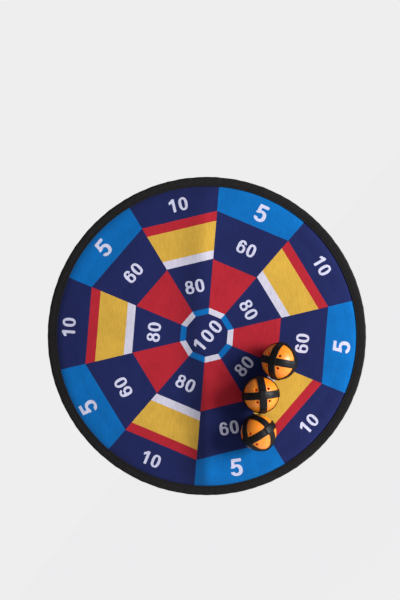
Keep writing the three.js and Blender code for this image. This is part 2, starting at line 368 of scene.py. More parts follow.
def backing_depth(x, z):
    """Depth of the backing's outer surface: slow sine waves that only ever dip inwards."""
    waves = np.sin(52.0 * x + 23.0 * z + 1.1) + np.sin(-31.0 * x + 61.0 * z) + np.sin(83.0 * x - 17.0 * z)
    return BACKING_WAVE * (3.0 - waves) * np.clip((tape_inner - np.hypot(x, z)) / BACKING_FADE, 0.0, 1.0)


backing_points, backing_quads = disc_with_hem(BACKING_CELLS, backing_depth, tape_inner - 0.0018, [
    (tape_inner - 0.0012, 0.0002),
    (tape_inner - 0.0006, 0.0010),
    (tape_inner + 0.0002, 0.0012),
    (layers_radius, 0.0012),
])
backing = make_piece("backing_cloth", backing_points, backing_quads[:, ::-1], "board",
                     ["backing_fabric"])
weave = Finish("charcoal_woven_backing", 0.82, 0.25)
x_axis, _, z_axis = weave.axes()
threads = woven_height(weave, x_axis, z_axis, BACKING_THREAD)
slubs = weave.noise(weave.turned(weave.place, scale=(900.0, 900.0, 90.0)), 1.0, 2.0)
patches = weave.noise(weave.place, 45.0, 3.0)
# Painted shade: the weave's colour is darker in the grooves between threads, following the same height as
# the bump. The slubs are the yarn's own tone.
weave_shade = weave.math("ADD", weave.ranged(threads, 0.55, 1.15), weave.ranged(slubs, -0.18, 0.18))
weave_colour = weave.mix(patches, (0.022, 0.023, 0.026), (0.042, 0.043, 0.047))
weave.paint(weave.shaded(weave_colour, weave_shade), weave.bump(threads, 0.00018, 0.9)).wear(backing)

# ---------------------------------------------------------------------------------------------------
# Foam pad. A disc of soft polyurethane foam between the two cloths, pinched thin at the rim under the
# edge tape. Its front is swollen by a cloth simulation, so the cloth on it rolls down as a stuffed one.
PAD_CELLS = 72
PAD_ROLL = 0.024
PAD_BACK_RIM = 0.0020
FOAM_CELLS = 144
CLOTH_GAP = 0.0010
FACE_UNDER_TAPE = 0.0010
ROLL_LATENESS = 2.6
ROLL_ROUNDNESS = 0.85
SWELL = 0.0012
SWELL_FRAMES = 20
SWELL_FADE = 0.018
WAVE_HEIGHT = 0.00009
WAVE_FADE = 0.012
CREASE_OFFSET = -0.003
CREASE_ABOVE = 0.0018
CREASE_BELOW = 0.0026
CREASE_REACH_LEFT = 0.013
CREASE_REACH_RIGHT = 0.007
CREASE_GROWTH = 0.09

roll_end = tape_inner - 0.0003
face_depth_middle = -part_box("face_fabric")[0].y
face_depth_rim = -tape_low.y - FACE_UNDER_TAPE
foam_back_middle = -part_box("foam_core")[1].y


def rolled_depth(x, z, middle, rim):
    """Depth of a padded layer: level in the middle, then rolling down to the rim as a power curve."""
    share = np.clip((np.hypot(x, z) - (roll_end - PAD_ROLL)) / PAD_ROLL, 0.0, 1.0)
    return rim + (middle - rim) * (1.0 - share ** ROLL_LATENESS) ** ROLL_ROUNDNESS


def crease_place(x, z):
    """Distance across the packing crease and along it, which are image right and image up."""
    across = x * image_right[0] + z * image_right[2] - CREASE_OFFSET
    return across, x * image_up[0] + z * image_up[2]


def crease_share(along):
    """How strong the crease is: nothing in the middle, then a power of the distance from it, up to one."""
    return np.clip(np.abs(along) / CREASE_GROWTH, 0.0, 1.0) ** 1.5


def soft_waves(x, z):
    """Height of the packing crease and of the foam's slow waves. The crease runs along image up, highest
    near the rim and lowest in the middle. Across it the height falls off as an exponential of the distance
    with a rounded top, gently on the left and steeply on the right. Three faint sine waves are added."""
    across, along = crease_place(x, z)
    reach = np.where(across < 0.0, CREASE_REACH_LEFT, CREASE_REACH_RIGHT)
    crest = np.exp(1.0 - np.sqrt(1.0 + (across / reach) ** 2))
    ridge = crest * np.where(along > 0.0, CREASE_ABOVE, CREASE_BELOW) * crease_share(along)
    waves = (np.sin(70.0 * x + 31.0 * z + 0.6) + np.sin(-43.0 * x + 58.0 * z + 2.1)
             + np.sin(25.0 * x + 88.0 * z + 4.0))
    edge_fade = np.clip((roll_end - np.hypot(x, z)) / WAVE_FADE, 0.0, 1.0)
    return edge_fade * (ridge + WAVE_HEIGHT * (waves - 3.0))


def swollen(points, quads, held):
    """The points after a cloth simulation with air pressure and no gravity, run on a copy with some points
    held still, and with each point's move capped."""
    mesh = bpy.data.meshes.new("swelling_pad")
    mesh.from_pydata(points.tolist(), [], quads.tolist())
    pad = bpy.data.objects.new("swelling_pad", mesh)
    bpy.context.scene.collection.objects.link(pad)
    group = pad.vertex_groups.new(name="held")
    group.add(np.flatnonzero(held).tolist(), 1.0, "REPLACE")
    cloth = pad.modifiers.new("swell", "CLOTH")
    cloth.settings.vertex_group_mass = "held"
    cloth.settings.quality = 5
    cloth.settings.mass = 0.2
    cloth.settings.tension_stiffness = 15.0
    cloth.settings.compression_stiffness = 15.0
    cloth.settings.bending_stiffness = 0.5
    cloth.settings.use_pressure = True
    cloth.settings.uniform_pressure_force = 4.0
    cloth.settings.effector_weights.gravity = 0.0
    cloth.collision_settings.use_collision = False
    cloth.point_cache.frame_start = 1
    cloth.point_cache.frame_end = SWELL_FRAMES
    for step in range(1, SWELL_FRAMES + 1):
        bpy.context.scene.frame_set(step)
    settled = pad.evaluated_get(bpy.context.evaluated_depsgraph_get())
    after = np.empty(points.size, dtype=np.float32)
    settled.to_mesh().vertices.foreach_get("co", after)
    settled.to_mesh_clear()
    bpy.context.scene.frame_set(1)
    bpy.data.objects.remove(pad)
    bpy.data.meshes.remove(mesh)
    move = after.reshape(-1, 3).astype(float) - points
    length = np.linalg.norm(move, axis=1, keepdims=True)
    return points + move * np.minimum(1.0, SWELL / np.maximum(length, 1e-12))


def smaller_by(x, z):
    """How much slimmer the pad starts than it ends: the full swell in the middle, none at the rim."""
    return SWELL * np.clip((roll_end - np.hypot(x, z)) / SWELL_FADE, 0.0, 1.0) ** 1.5


def finer(values, cells):
    """A square grid of values redrawn on a finer grid with cubic curves through them: each new value is a
    weighted sum of the four nearest old ones, first along one direction and then along the other."""
    count = len(values)
    place = np.linspace(0.0, count - 1.0, cells + 1)
    start = np.minimum(place.astype(int), count - 2)
    t = place - start
    weights = [-t / 2 + t ** 2 - t ** 3 / 2, 1 - 2.5 * t ** 2 + 1.5 * t ** 3,
               t / 2 + 2 * t ** 2 - 1.5 * t ** 3, (t ** 3 - t ** 2) / 2]
    spread = np.zeros((cells + 1, count))
    for offset, weight in zip((-1, 0, 1, 2), weights):
        np.add.at(spread, (np.arange(cells + 1), np.clip(start + offset, 0, count - 1)), weight)
    return spread @ values @ spread.T


pad_x, pad_z = disc_grid(PAD_CELLS, roll_end)
pad_rim = rim_order(PAD_CELLS)
slim_depth = (rolled_depth(pad_x, pad_z, face_depth_middle - CLOTH_GAP, face_depth_rim - CLOTH_GAP)
              + soft_waves(pad_x, pad_z) - smaller_by(pad_x, pad_z))
pad_back_depth = rolled_depth(pad_x, pad_z, foam_back_middle, PAD_BACK_RIM)
slim_points = np.concatenate([at_depth(pad_x, pad_z, slim_depth), at_depth(pad_x, pad_z, pad_back_depth)])
pad_cells = grid_quads(PAD_CELLS + 1, PAD_CELLS + 1)
back_start = pad_x.size
pad_wall = ring_wall(pad_rim, back_start + pad_rim)
pad_held = np.arange(2 * back_start) >= back_start
pad_held[pad_rim] = True
pad_quads = np.concatenate([pad_cells, back_start + pad_cells[:, ::-1], pad_wall])
swollen_y = swollen(slim_points, pad_quads, pad_held)[:back_start, 1].reshape(pad_x.shape)
swell = np.clip(-slim_depth - swollen_y, 0.0, SWELL)
# Averaging each inner point with its four neighbours takes out the grid's small bumps.
for _ in range(3):
    swell[1:-1, 1:-1] = (swell[1:-1, 1:-1] + swell[:-2, 1:-1] + swell[2:, 1:-1]
                         + swell[1:-1, :-2] + swell[1:-1, 2:]) / 5.0


def cloth_depth(x, z, gap):
    """Depth of the face cloth, or of what lies a gap under it, on a disc grid of any fineness: the rolled
    profile, the soft waves, and the simulated swelling that replaces what the pad started short of."""
    rolled = rolled_depth(x, z, face_depth_middle - gap, face_depth_rim - gap)
    return rolled + soft_waves(x, z) - smaller_by(x, z) + finer(swell, len(x) - 1)


fine_x, fine_z = disc_grid(FOAM_CELLS, roll_end)
foam_front = cloth_depth(fine_x, fine_z, CLOTH_GAP)
foam_back = rolled_depth(fine_x, fine_z, foam_back_middle, PAD_BACK_RIM)
foam_rim = rim_order(FOAM_CELLS)
rim_x, rim_z = fine_x.ravel()[foam_rim], fine_z.ravel()[foam_rim]
rim_scale = (layers_radius - 0.0004) / roll_end
foam_points = np.concatenate([
    at_depth(fine_x, fine_z, foam_front),
    at_depth(fine_x, fine_z, foam_back),
    at_depth(rim_x * rim_scale, rim_z * rim_scale, np.full(len(rim_x), face_depth_rim - CLOTH_GAP - 0.0003)),
    at_depth(rim_x * rim_scale, rim_z * rim_scale, np.full(len(rim_x), PAD_BACK_RIM)),
])
foam_cells = grid_quads(FOAM_CELLS + 1, FOAM_CELLS + 1)
foam_half = fine_x.size
ring = np.arange(len(foam_rim))
foam_rings = [foam_rim, 2 * foam_half + ring, 2 * foam_half + len(ring) + ring, foam_half + foam_rim]
foam_wall = [ring_wall(inner, outer) for inner, outer in zip(foam_rings[:-1], foam_rings[1:])]
foam = make_piece("foam_pad", foam_points,
                  np.concatenate([foam_cells, foam_half + foam_cells[:, ::-1], *foam_wall]),
                  "board", ["foam_core"])
foam_look = Finish("open_cell_foam", 0.95, 0.1)
foam_pores = foam_look.noise(foam_look.place, 1500.0, 3.0, 0.7)
foam_tone = foam_look.mix(foam_look.noise(foam_look.place, 60.0), (0.60, 0.56, 0.47), (0.72, 0.69, 0.60))
foam_look.paint(foam_look.shaded(foam_tone, foam_look.ranged(foam_pores, 0.6, 1.2)),
                foam_look.bump(foam_pores, 0.0004, 0.8)).wear(foam)

# ---------------------------------------------------------------------------------------------------
# Printed face. One disc of brushed polyester loop fabric, printed before it is cut, stretched over the
# foam and caught under the edge tape. The padding rolls it down towards the tape, and a soft packing
# crease runs across it.
FACE_CELLS = 290
FACE_THICKNESS = 0.0008
HEM_WIDTH = 0.008
INK_REACH = 0.004
# Painted shade along the crease: the streak's widths to the left and right, its places along the crease, its
# middles across it and its depths.
SHADE_STREAK_WIDTH_LEFT = 0.017
SHADE_STREAK_WIDTH_RIGHT = 0.008
SHADE_STREAK_PLACES = (-0.15, -0.05, 0.0, 0.06, 0.12)
SHADE_STREAK_MIDDLES = (-0.003, -0.004, -0.014, -0.013, -0.008)
SHADE_STREAK_DEPTHS = (0.38, 0.36, 0.24, 0.24, 0.08)

face_points, face_quads = disc_with_hem(FACE_CELLS, lambda x, z: cloth_depth(x, z, 0.0), roll_end, [
    (roll_end + 0.0008, face_depth_rim),
    (layers_radius - 0.0003, face_depth_rim),
    (layers_radius, face_depth_rim - FACE_THICKNESS / 2),
    (layers_radius - 0.0003, face_depth_rim - FACE_THICKNESS),
    (layers_radius - HEM_WIDTH, face_depth_rim - FACE_THICKNESS),
])
face = make_piece("face_cloth", face_points, face_quads, "board", ["face_fabric"])

# The numerals are worked out as distances to their outlines, digit by digit, in units of their height.
PRINT_OFFSET = (0.0007, 0.0007)
DIGIT_SPACING = 0.79
WIDE_SPACING = 0.88


def oval(x, y, middle_y, half_width, half_height, power=2.35):
    """Distance outside a rounded oval: its implicit value less one, divided by the slope of that value."""
    px = np.abs(x) / half_width + 1e-9
    py = np.abs(y - middle_y) / half_height + 1e-9
    value = (px ** power + py ** power) ** (1.0 / power)
    slope = np.hypot((px / value) ** (power - 1.0) / half_width, (py / value) ** (power - 1.0) / half_height)
    return (value - 1.0) / slope


def bar(x, y, left, right, bottom, top):
    """Distance outside an upright rectangle: the larger of the distances past its sides."""
    return np.maximum(np.maximum(left - x, x - right), np.maximum(bottom - y, y - top))


def digit_0(x, y):
    """An oval ring, thinner at top and bottom."""
    return np.maximum(oval(x, y, 0.5, 0.335, 0.5), -oval(x, y, 0.5, 0.125, 0.35))


def digit_1(x, y):
    """An upright stem with a short flag sloping down to the left from its top."""
    flag_x = (x + 0.12) * 0.82 + (y - 0.8) * 0.57
    flag_y = (y - 0.8) * 0.82 - (x + 0.12) * 0.57
    flag = np.maximum(bar(flag_x, flag_y, -0.3, 0.2, -0.09, 0.09), bar(x, y, -0.27, 0.1, 0.0, 1.0))
    return np.minimum(bar(x, y, -0.035, 0.175, 0.0, 1.0), flag)


def digit_5(x, y):
    """A top bar, a leaning left stroke, and a ring open at the upper left of its bowl."""
    top = bar(x, y, -0.22, 0.33, 0.82, 1.0)
    left = bar(x + 0.1 * (1.0 - y), y, -0.23, -0.05, 0.46, 1.0)
    ring = np.maximum(oval(x, y, 0.335, 0.35, 0.335), -oval(x, y, 0.335, 0.14, 0.18))
    bowl = np.maximum(ring, -bar(x, y, -1.0, -0.03, 0.25, 0.47))
    return np.minimum(np.minimum(top, left), bowl)


def digit_6(x, y):
    """The left and top of a zero, joined to a round bowl."""
    sweep = np.maximum(digit_0(x, y), np.minimum(x, 0.73 - y))
    bowl = np.minimum(sweep, oval(x, y, 0.33, 0.33, 0.33))
    return np.maximum(bowl, -oval(x, y, 0.325, 0.135, 0.19))


def digit_8(x, y):
    """Two stacked rings, the upper one smaller."""
    outside = np.minimum(oval(x, y, 0.745, 0.29, 0.255), oval(x, y, 0.29, 0.33, 0.29))
    holes = np.minimum(oval(x, y, 0.745, 0.115, 0.125), oval(x, y, 0.29, 0.14, 0.155))
    return np.maximum(outside, -holes)


DIGITS = {"0": digit_0, "1": digit_1, "5": digit_5, "6": digit_6, "8": digit_8}


def numeral_distance(x, z, text, radius, heading, turn, spacing):
    """Distance from the outline of a numeral whose middle is at a radius and a clockwise heading in
    degrees. Its top points outwards on the upper half of the board and inwards on the lower half."""
    height = NUMERAL_HEIGHTS[text]
    dx = x - PRINT_OFFSET[0] - radius * math.sin(math.radians(heading))
    dz = z - PRINT_OFFSET[1] - radius * math.cos(math.radians(heading))
    sign = -1.0 if 120.0 < heading < 270.0 else 1.0
    top_x, top_z = sign * math.sin(math.radians(turn)), sign * math.cos(math.radians(turn))
    local_x = (dx * top_z - dz * top_x) / height
    local_y = (dx * top_x + dz * top_z) / height + 0.5
    distance = np.full(x.shape, 1.0)
    for place, digit in enumerate(text):
        shift = (place - (len(text) - 1) / 2.0) * spacing
        distance = np.minimum(distance, DIGITS[digit](local_x - shift, local_y))
    return distance * height


# Each numeral is printed a little off its sector's middle. A row gives its text, the distance and angle
# of its middle from the print's centre, and the clockwise turn of its outward side.
NUMERALS = [
    ("5", 0.1482, 359.4, 0.0), ("60", 0.1055, 359.6, 2.0),
    ("10", 0.1462, 36.8, 36.0), ("80", 0.0550, 35.3, 38.0),
    ("5", 0.1463, 73.3, 73.5), ("60", 0.1042, 73.9, 74.0),
    ("10", 0.1476, 108.1, 110.0), ("80", 0.0536, 107.9, 110.0),
    ("5", 0.1482, 144.3, 146.0), ("60", 0.1047, 144.1, 146.0),
    ("10", 0.1480, 180.2, 182.0), ("80", 0.0531, 178.9, 180.0),
    ("5", 0.1482, 216.7, 221.0), ("60", 0.1042, 215.7, 219.0),
    ("10", 0.1488, 253.5, 252.0), ("80", 0.0576, 253.0, 254.0),
    ("5", 0.1519, 287.8, 289.0), ("60", 0.1076, 287.4, 290.0),
    ("10", 0.1513, 322.5, 323.0), ("80", 0.0580, 322.7, 326.0),
]
NUMERAL_HEIGHTS = {"5": 0.0190, "60": 0.0144, "10": 0.0145, "80": 0.0144, "100": 0.0152}

flat_x, flat_z = face_points[:, 0], face_points[:, 2]
edge_distance = numeral_distance(flat_x, flat_z, "100", 0.0010, 180.0, 180.0, WIDE_SPACING)
for text, distance, heading, turn in NUMERALS:
    outline = numeral_distance(flat_x, flat_z, text, distance, heading, turn, DIGIT_SPACING)
    edge_distance = np.minimum(edge_distance, outline)
ink = face.data.attributes.new("numeral_edge", "FLOAT", "POINT")
ink.data.foreach_set("value", np.clip(edge_distance, -INK_REACH, INK_REACH).astype(np.float32))

# A streak of painted shade darkens the face's colour along the left side of the crease, the same under any
# light and from any side. Across, the streak is a bell that is wider to the left. Its middle and depth
# change along the crease between the given places.
flat_across, flat_along = crease_place(flat_x, flat_z)
shade_streak_middle = np.interp(flat_along, SHADE_STREAK_PLACES, SHADE_STREAK_MIDDLES)
shade_streak_width = np.where(flat_across < shade_streak_middle, SHADE_STREAK_WIDTH_LEFT, SHADE_STREAK_WIDTH_RIGHT)
crease_shade_amount = np.interp(flat_along, SHADE_STREAK_PLACES, SHADE_STREAK_DEPTHS) * np.exp(
    -((flat_across - shade_streak_middle) / shade_streak_width) ** 2)
face.data.attributes.new("painted_crease_shade", "FLOAT", "POINT").data.foreach_set("value", crease_shade_amount.astype(np.float32))

# Colours of the print. The bands of each sector have straight edges square to the sector's middle line,
# and each list gives the corner radius where a colour starts.
NAVY = (0.0095, 0.0145, 0.078)
SKY_BLUE = (0.0, 0.115, 0.375)
YELLOW = (0.535, 0.320, 0.044)
RED = (0.360, 0.014, 0.025)
WHITE = (0.52, 0.50, 0.60)
NUMERAL_WHITE = (0.52, 0.52, 0.67)
FIVE_BANDS = [(0.0, NAVY), (0.0231, WHITE), (0.0300, RED), (0.0830, NAVY), (0.1362, SKY_BLUE)]
TEN_BANDS = [(0.0, NAVY), (0.0231, SKY_BLUE), (0.0300, NAVY), (0.0838, WHITE), (0.0932, YELLOW),
             (0.1257, RED), (0.1360, NAVY)]
SECTOR_ANGLE = math.radians(36.0)


def band_ramp(s, position, bands):
    """A colour ramp that jumps from band to band, with corner radii turned into straight-edge distances."""
    ramp = s.node("ShaderNodeValToRGB")
    ramp.color_ramp.interpolation = "CONSTANT"
    for i, (corner, colour) in enumerate(bands):
        start = corner * math.cos(SECTOR_ANGLE / 2.0) / board_radius
        stop = ramp.color_ramp.elements[i] if i < 2 else ramp.color_ramp.elements.new(start)
        stop.position = start
        stop.color = (*colour, 1.0)
    s.feed(ramp.inputs["Fac"], position)
    return ramp.outputs["Color"]


# The nap blurs each edge of the print by a fraction of a millimetre. The angle round the print's centre
# picks the sector, and the distance along the sector's middle line picks the band.
cloth = Finish("printed_loop_cloth", 0.9, 0.12)
x_axis, _, z_axis = cloth.axes()
ragged = cloth.ranged(cloth.noise(cloth.place, 1400.0), -0.0003, 0.0003)
print_x = cloth.math("ADD", cloth.math("SUBTRACT", x_axis, PRINT_OFFSET[0]), ragged)
print_z = cloth.math("ADD", cloth.math("SUBTRACT", z_axis, PRINT_OFFSET[1]), ragged)
heading = cloth.math("ARCTAN2", print_x, print_z)
sector = cloth.math("FLOOR", cloth.math("ADD", cloth.math("DIVIDE", heading, SECTOR_ANGLE), 0.5))
off_middle = cloth.math("SUBTRACT", heading, cloth.math("MULTIPLY", sector, SECTOR_ANGLE))
radius = cloth.math("SQRT", cloth.math("ADD", cloth.math("MULTIPLY", print_x, print_x),
                                       cloth.math("MULTIPLY", print_z, print_z)))
chord = cloth.math("MULTIPLY", radius, cloth.math("COSINE", off_middle))
band_place = cloth.math("DIVIDE", chord, board_radius)
odd_sector = cloth.math("ABSOLUTE", cloth.math("MODULO", sector, 2.0))
bands = cloth.mix(odd_sector, band_ramp(cloth, band_place, FIVE_BANDS),
                  band_ramp(cloth, band_place, TEN_BANDS))
edge = cloth.node("ShaderNodeAttribute", attribute_name="numeral_edge").outputs["Fac"]
inside = cloth.math("LESS_THAN", cloth.math("ADD", edge, ragged), 0.0)
inks = cloth.mix(inside, bands, NUMERAL_WHITE)
nap_turned = cloth.turned(cloth.place, rotation=(0.0, -ROLL, 0.0))
nap_place = cloth.turned(nap_turned, scale=(900.0, 900.0, 120.0))
nap = cloth.noise(nap_place, 1.0, 3.0, 0.6)
nap_patches = cloth.noise(cloth.place, 55.0, 3.0, 0.55)
nap_tone_and_crease_shade = cloth.math("MULTIPLY", cloth.ranged(nap, 0.78, 1.22), cloth.ranged(nap_patches, 0.82, 1.18))
# The painted crease shade darkens the nap's tone.
crease_shade_share = cloth.node("ShaderNodeAttribute", attribute_name="painted_crease_shade").outputs["Fac"]
nap_tone_and_crease_shade = cloth.math("MULTIPLY", nap_tone_and_crease_shade, cloth.math("SUBTRACT", 1.0, crease_shade_share))
fuzz = cloth.bump(cloth.noise(cloth.place, 1900.0, 2.0, 0.7), 0.00018, 0.7)
cloth.paint(cloth.shaded(inks, nap_tone_and_crease_shade), cloth.bump(nap, 0.00022, 0.6, fuzz)).wear(face)
cloth.shader.inputs["Sheen Weight"].default_value = 0.06
cloth.shader.inputs["Sheen Roughness"].default_value = 0.5
cloth.shader.inputs["Sheen Tint"].default_value = (0.8, 0.82, 0.9, 1.0)

# ---------------------------------------------------------------------------------------------------
# Edge tape. One length of black ribbed tape is folded round the rim, so that it covers the raw edges of
# both cloths front and back. The sewing pulls it down in a shallow groove with small puckers.
STITCHES = 326
STEPS_PER_STITCH = 4
TAPE_THICKNESS = 0.0008
FOLD_REACH = 0.0024
STITCH_INSET = 0.0022
GROOVE = 0.00022
GROOVE_WIDTH = 0.0011
PUCKER = 0.00014
TAPE_FULLNESS = 0.00016
TAPE_WAVE = 0.00010
TAPE_WANDER = 0.00022
RIBS = 880

tape_depth = -tape_low.y
fold_radius = board_radius - FOLD_REACH
stitch_radius = tape_inner + STITCH_INSET


def round_rim(radius, depth, turn):
    """Points at a radius and depth, carried round the board: x and z go with the sine and cosine of the
    turn, which starts at the top and runs clockwise."""
    shape = np.broadcast_shapes(np.shape(radius), np.shape(depth), np.shape(turn))
    return np.stack([np.broadcast_to(radius * np.sin(turn), shape), np.broadcast_to(-depth, shape),
                     np.broadcast_to(radius * np.cos(turn), shape)], axis=-1)


def tape_skin(inset, steps_flat, steps_fold):
    """Radius, depth and outward signs along one side of the tape's folded section, inset from its outer
    surface: the front flange, half an ellipse round the edge, and the rear flange."""
    flat = np.linspace(tape_inner, fold_radius, steps_flat)
    turn = np.linspace(math.pi / 2, -math.pi / 2, steps_fold + 1)[1:-1]
    half = tape_depth / 2
    radius = np.concatenate([flat, fold_radius + (FOLD_REACH - inset) * np.cos(turn), flat[::-1]])
    depth = np.concatenate([np.full(steps_flat, tape_depth - inset), half + (half - inset) * np.sin(turn),
                            np.full(steps_flat, inset)])
    side = np.concatenate([np.full(steps_flat, -1.0), -np.sin(turn), np.full(steps_flat, 1.0)])
    return radius, depth, side


outer_radius, outer_depth, outer_side = tape_skin(0.0, 13, 10)
under_radius, under_depth, under_side = tape_skin(TAPE_THICKNESS, 6, 8)
lip_radius = tape_inner - 0.00015
half_tape = TAPE_THICKNESS / 2
section_radius = np.concatenate([[lip_radius], outer_radius, [lip_radius], under_radius[::-1]])
section_depth = np.concatenate([[tape_depth - half_tape], outer_depth, [half_tape], under_depth[::-1]])
section_side = np.concatenate([[-1.0], outer_side, [1.0], under_side[::-1]])
rim_turn = np.linspace(0.0, 2.0 * math.pi, STITCHES * STEPS_PER_STITCH, endpoint=False)[:, None]
stitch_phase = STITCHES * rim_turn
near_stitch = np.exp(-((section_radius - stitch_radius) / GROOVE_WIDTH) ** 2)
pull = near_stitch * (GROOVE + PUCKER * 0.5 * (1.0 + np.cos(stitch_phase)))
beyond = np.clip((section_radius - stitch_radius) / (board_radius - stitch_radius), 0.0, 1.0)
ripple = (np.sin(37.0 * rim_turn + 0.4) + np.sin(61.0 * rim_turn + 2.0) + np.sin(104.0 * rim_turn)) / 3.0
fullness = (TAPE_FULLNESS * np.sin(math.pi * beyond) * ripple
            + TAPE_WAVE * beyond * np.sin(stitch_phase / 2.0))
tape_points = round_rim(section_radius + TAPE_WANDER * beyond * ripple,
                        section_depth + section_side * (pull - fullness), rim_turn)
edge_tape = make_piece("edge_tape", tape_points, grid_quads(*tape_points.shape[:2], True, True),
                       "board", ["edge_binding"])


def ribbed(s, along, pitch):
    """Height of ribs across a tape: the square root of a sine's size, so the ribs are round and close."""
    wave = s.math("ABSOLUTE", s.math("SINE", s.math("MULTIPLY", along, math.pi / pitch)))
    return s.math("POWER", wave, 0.6)


rib_tape = Finish("black_ribbed_tape", 0.75, 0.16)
x_axis, _, z_axis = rib_tape.axes()
rim_length = rib_tape.math("MULTIPLY", rib_tape.math("ARCTAN2", x_axis, z_axis), board_radius)
ribs = ribbed(rib_tape, rim_length, 2.0 * math.pi * board_radius / RIBS)
fine_yarn = rib_tape.noise(rib_tape.place, 2600.0, 2.0, 0.6)
lint = rib_tape.noise(rib_tape.place, 70.0, 4.0, 0.6)
# Painted shade: the tape is darker in the grooves between ribs, following the ribs' height. The fine yarn
# noise is the tape's own tone.
rib_shade = rib_tape.math("ADD", rib_tape.ranged(ribs, 0.45, 1.1), rib_tape.ranged(fine_yarn, -0.25, 0.25))
rib_colour = rib_tape.mix(lint, (0.0050, 0.0042, 0.0045), (0.0115, 0.0098, 0.0102))
rib_normal = rib_tape.bump(ribs, 0.00022, 0.9, rib_tape.bump(fine_yarn, 0.0001, 0.5))
rib_tape.paint(rib_tape.shaded(rib_colour, rib_shade), rib_normal).wear(edge_tape)

# ---------------------------------------------------------------------------------------------------
# Stitching. One row of black lockstitch holds the edge tape, seen as separate stitches on both sides.
# Each stitch rises out of the tape, lies on it and dives back in beside the next.
STITCH_GAP = 0.16
STITCH_LEAN = 0.00010
THREAD_RADIUS = 0.00030
THREAD_SINK = 0.00016
THREAD_RISE = 0.00046
THREAD_RINGS = 7
THREAD_SIDES = 6


def tube_cells(rings, sides):
    """Quads of a closed tube with an even number of sides, whose rings run counter-clockwise about its
    way: the wall, and at each end a cap of strips from one side of the ring to the other."""
    strip = np.arange(sides // 2 - 1)[:, None]
    start_cap = np.concatenate([strip, sides - 1 - strip, sides - 2 - strip, strip + 1], axis=1)
    end_cap = (rings - 1) * sides + start_cap[:, ::-1]
    return np.concatenate([grid_quads(rings, sides, False, True)[:, ::-1], start_cap, end_cap])


stitch_row = np.arange(STITCHES)[:, None, None]
along_stitch = np.linspace(0.0, 1.0, THREAD_RINGS)[None, :, None]
round_thread = np.linspace(0.0, 2.0 * math.pi, THREAD_SIDES, endpoint=False)[None, None, :]
stitch_turn = 2.0 * math.pi * (stitch_row + STITCH_GAP / 2 + (1.0 - STITCH_GAP) * along_stitch) / STITCHES
arch = np.sin(math.pi * along_stitch) ** 0.5
thread_radius = THREAD_RADIUS * (0.62 + 0.38 * arch) * np.ones_like(round_thread)


def stitch_rows(side, level):
    """All stitches of a row as tubes: each thread's middle follows an arch over the tape's surface, and a
    ring of points goes round it. The side is -1 on the front and 1 on the back."""
    height = level - side * (-THREAD_SINK + THREAD_RISE * arch)
    lean = STITCH_LEAN * np.sin(2.4 * stitch_row)
    radius = stitch_radius + lean * (along_stitch - 0.5) + thread_radius * np.cos(round_thread)
    depth = height - side * thread_radius * 0.85 * np.sin(round_thread)
    points = round_rim(radius, depth, stitch_turn + np.zeros_like(round_thread))
    cells = tube_cells(THREAD_RINGS, THREAD_SIDES)[:, ::1 if side < 0 else -1]
    starts = THREAD_RINGS * THREAD_SIDES * np.arange(STITCHES)[:, None, None]
    return points.reshape(-1, 3), (cells[None] + starts).reshape(-1, 4)


front_points, front_quads = stitch_rows(-1.0, tape_depth - GROOVE)
rear_points, rear_quads = stitch_rows(1.0, GROOVE)
stitches = make_piece("edge_stitches", np.concatenate([front_points, rear_points]),
                      np.concatenate([front_quads, len(front_points) + rear_quads]),
                      "board", ["binding_stitching"])


def thread_finish(name, dark, light):
    """Twisted polyester thread: fine diagonal plies with a soft gloss, and dust in places."""
    s = Finish(name, 0.75, 0.15)
    plies = s.node("ShaderNodeTexWave", bands_direction="DIAGONAL")
    s.feed(plies.inputs["Vector"], s.place)
    s.feed(plies.inputs["Scale"], 900.0)
    s.feed(plies.inputs["Distortion"], 1.5)
    dust = s.noise(s.place, 120.0, 3.0)
    # Painted shade: the thread is darker in the grooves between plies, following the same wave as the bump.
    # The dust is the thread's own tone.
    colour = s.shaded(s.mix(dust, dark, light), s.ranged(plies.outputs["Fac"], 0.6, 1.25))
    return s.paint(colour, s.bump(plies.outputs["Fac"], 0.0001, 0.7))


thread_finish("black_thread", (0.008, 0.007, 0.007), (0.020, 0.018, 0.017)).wear(stitches)

# ---------------------------------------------------------------------------------------------------
# Hanging loop. A length of narrow woven tape is folded in two at the top of the back. Its ends lie side
# by side, tacked down, and its free part hangs open below them as an eye for a nail.
LOOP_TAPE_WIDTH = 0.0054
LOOP_TAPE_HALF = 0.00050
LOOP_STEPS = 240
LOOP_SIDES = 20
LOOP_PARTING = 0.0007
LOOP_NECK = 0.009
LOOP_SPREAD = 0.012
LOOP_RIPPLE = 0.0004

ends_low, ends_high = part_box("loop_ends")
loop_low, loop_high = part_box("hanging_loop")
leg_at_root = (ends_high.x - LOOP_TAPE_WIDTH / 2) / 2 + LOOP_PARTING
eye_reach = loop_high.x - LOOP_TAPE_WIDTH / 2 - 0.0001
eye_centre = loop_low.z + loop_high.x
spread_top = ends_low.z - LOOP_NECK
spread_bottom = spread_top - LOOP_SPREAD


def smooth_step(value):
    """Zero to one with level ends: three squares less two cubes."""
    t = np.clip(value, 0.0, 1.0)
    return t * t * (3.0 - 2.0 * t)


def loop_middle(share):
    """x and z of the tape's middle line at a share of its length: down the left leg, which spreads as a
    smooth step, half a circle round the eye, and up the right leg as its mirror."""
    leg = ends_high.z - eye_centre
    turn_length = math.pi * eye_reach
    length = share * (2.0 * leg + turn_length)
    down = np.minimum(length, leg)
    up = np.clip(length - leg - turn_length, 0.0, leg)
    z = np.where(length > leg + turn_length, eye_centre + up, ends_high.z - down)
    half_turn = np.clip((length - leg) / eye_reach, 0.0, math.pi)
    spread = leg_at_root + (eye_reach - leg_at_root) * smooth_step(
        (spread_top - z) / (spread_top - spread_bottom))
    on_turn = (length > leg) & (length < leg + turn_length)
    x = np.where(on_turn, -eye_reach * np.cos(half_turn), np.where(length > leg, spread, -spread))
    return x, np.where(on_turn, eye_centre - eye_reach * np.sin(half_turn), z), half_turn


